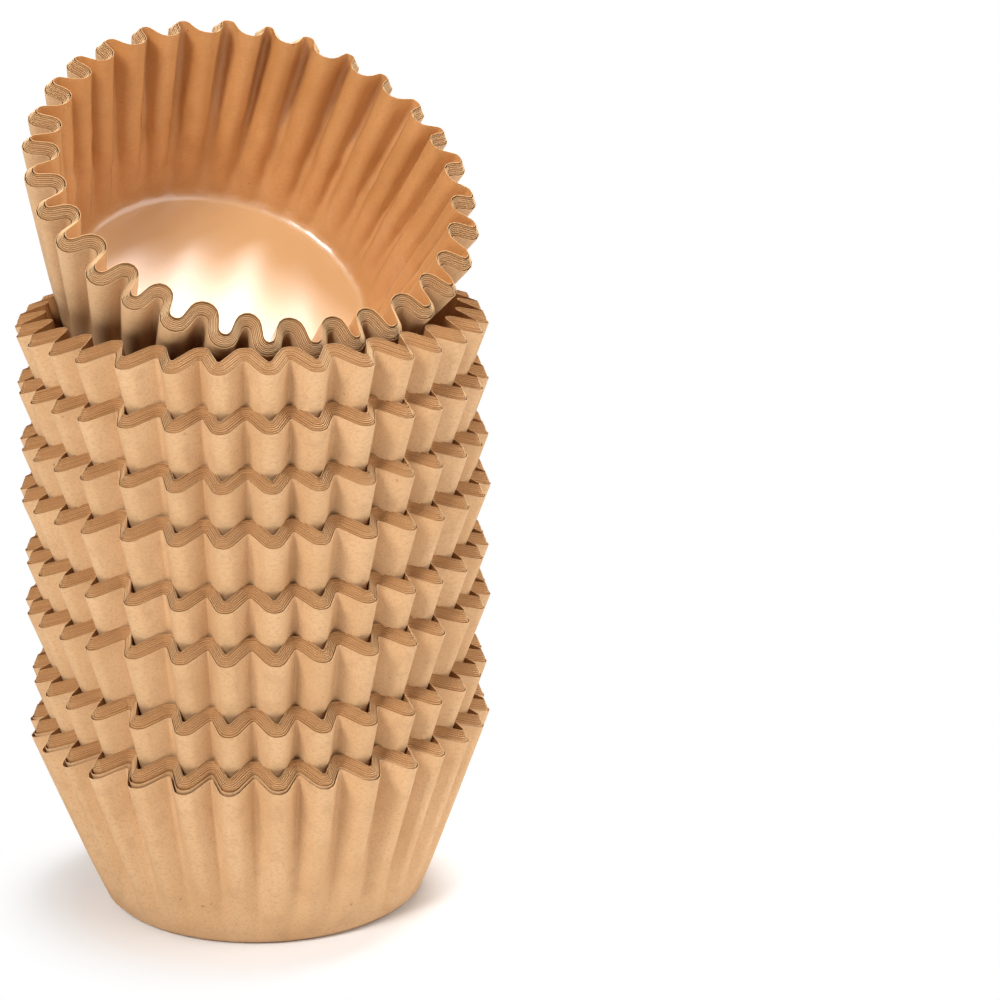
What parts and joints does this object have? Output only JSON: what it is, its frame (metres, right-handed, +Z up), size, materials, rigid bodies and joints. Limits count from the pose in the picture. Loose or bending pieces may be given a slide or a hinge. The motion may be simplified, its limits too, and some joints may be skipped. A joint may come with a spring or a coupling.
{
  "type": "stack of cupcake liners",
  "caption": "Tall stack of nested pleated kraft-paper cupcake liners standing on its flat base, with a last nest of liners tilted in the top.",
  "frame": {"origin": "centre of the bottom nest's flat base, on the surface it stands on", "axes": "+Z up along the stack, -Y towards the viewer of the picture, +X to the viewer's right"},
  "size_m": [0.0716, 0.0716, 0.1353],
  "materials": {
    "kraft_outer_cup": "matt unbleached kraft paper, outermost cups",
    "kraft_packed_cups": "matt kraft paper, edges of packed cups",
    "kraft_inner_cup": "kraft paper with a light grease-resistant sheen inside"
  },
  "bodies": {
    "root": {"nest_1_outer_cup": "kraft_outer_cup", "nest_1_second_cup": "kraft_outer_cup", "nest_1_packed_cups": "kraft_packed_cups", "nest_2_outer_cup": "kraft_outer_cup", "nest_2_packed_cups": "kraft_packed_cups", "nest_3_outer_cup": "kraft_outer_cup", "nest_3_packed_cups": "kraft_packed_cups", "nest_4_outer_cup": "kraft_outer_cup", "nest_4_packed_cups": "kraft_packed_cups", "nest_5_outer_cup": "kraft_outer_cup", "nest_5_packed_cups": "kraft_packed_cups", "nest_6_outer_cup": "kraft_outer_cup", "nest_6_packed_cups": "kraft_packed_cups", "nest_6_inner_cup": "kraft_inner_cup", "nest_7_outer_cup": "kraft_outer_cup", "nest_7_packed_cups": "kraft_packed_cups", "nest_8_outer_cup": "kraft_outer_cup", "nest_8_packed_cups": "kraft_packed_cups", "nest_9_outer_cup": "kraft_outer_cup", "nest_9_packed_cups": "kraft_packed_cups", "nest_9_inner_cup": "kraft_inner_cup"}
  },
  "joints": []
}
